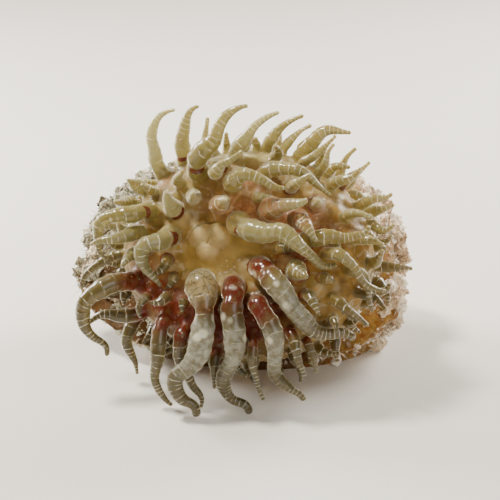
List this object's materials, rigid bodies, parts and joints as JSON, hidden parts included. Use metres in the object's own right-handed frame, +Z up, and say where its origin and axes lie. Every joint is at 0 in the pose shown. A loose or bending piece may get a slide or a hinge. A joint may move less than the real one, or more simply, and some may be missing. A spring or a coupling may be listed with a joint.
{
  "type": "sea anemone",
  "caption": "Small reef sea anemone resting on its foot, with translucent ringed tentacles round an olive mouth disc and grit on its orange-brown column.",
  "frame": {"origin": "a point on the foot's flat underside, at floor level", "axes": "+Z up, -Y the side that the mouth faces, +X to the right of a viewer who looks at the mouth"},
  "size_m": [0.0363, 0.0319, 0.0292],
  "materials": {
    "foot_flesh": "damp, matt",
    "column_flesh": "damp, rough, with grit stuck to it",
    "collar_flesh": "wet, satin, translucent",
    "disc_flesh": "wet, glossy, translucent",
    "lips_flesh": "wet, glossy, translucent",
    "tentacle_flesh": "wet, glossy, translucent with pale rings"
  },
  "bodies": {
    "root": {"collar": "collar_flesh", "column": "column_flesh", "foot": "foot_flesh", "lips": "lips_flesh", "oral_disc": "disc_flesh", "tentacle_inner_1": "tentacle_flesh", "tentacle_inner_10": "tentacle_flesh", "tentacle_inner_11": "tentacle_flesh", "tentacle_inner_2": "tentacle_flesh", "tentacle_inner_3": "tentacle_flesh", "tentacle_inner_4": "tentacle_flesh", "tentacle_inner_5": "tentacle_flesh", "tentacle_inner_6": "tentacle_flesh", "tentacle_inner_7": "tentacle_flesh", "tentacle_inner_9": "tentacle_flesh", "tentacle_left_1": "tentacle_flesh", "tentacle_left_2": "tentacle_flesh", "tentacle_left_3": "tentacle_flesh", "tentacle_left_4": "tentacle_flesh", "tentacle_left_6_base": "tentacle_flesh", "tentacle_left_6_tip": "tentacle_flesh", "tentacle_left_7": "tentacle_flesh", "tentacle_left_9": "tentacle_flesh", "tentacle_lower_1": "tentacle_flesh", "tentacle_lower_2": "tentacle_flesh", "tentacle_lower_3_base": "tentacle_flesh", "tentacle_lower_3_tip": "tentacle_flesh", "tentacle_lower_4": "tentacle_flesh", "tentacle_lower_5_base": "tentacle_flesh", "tentacle_lower_5_tip": "tentacle_flesh", "tentacle_lower_6": "tentacle_flesh", "tentacle_lower_7_base": "tentacle_flesh", "tentacle_lower_7_tip": "tentacle_flesh", "tentacle_lower_8_base": "tentacle_flesh", "tentacle_lower_8_tip": "tentacle_flesh", "tentacle_right_10": "tentacle_flesh", "tentacle_right_1_base": "tentacle_flesh", "tentacle_right_1_tip": "tentacle_flesh", "tentacle_right_2": "tentacle_flesh", "tentacle_right_3": "tentacle_flesh", "tentacle_right_4": "tentacle_flesh", "tentacle_right_5": "tentacle_flesh", "tentacle_right_8": "tentacle_flesh", "tentacle_upper_1": "tentacle_flesh", "tentacle_upper_10": "tentacle_flesh", "tentacle_upper_11": "tentacle_flesh", "tentacle_upper_12": "tentacle_flesh", "tentacle_upper_13": "tentacle_flesh", "tentacle_upper_2": "tentacle_flesh", "tentacle_upper_3": "tentacle_flesh", "tentacle_upper_4": "tentacle_flesh", "tentacle_upper_5": "tentacle_flesh", "tentacle_upper_6": "tentacle_flesh", "tentacle_upper_7": "tentacle_flesh", "tentacle_upper_8": "tentacle_flesh", "tentacle_upper_9": "tentacle_flesh"}
  },
  "joints": []
}
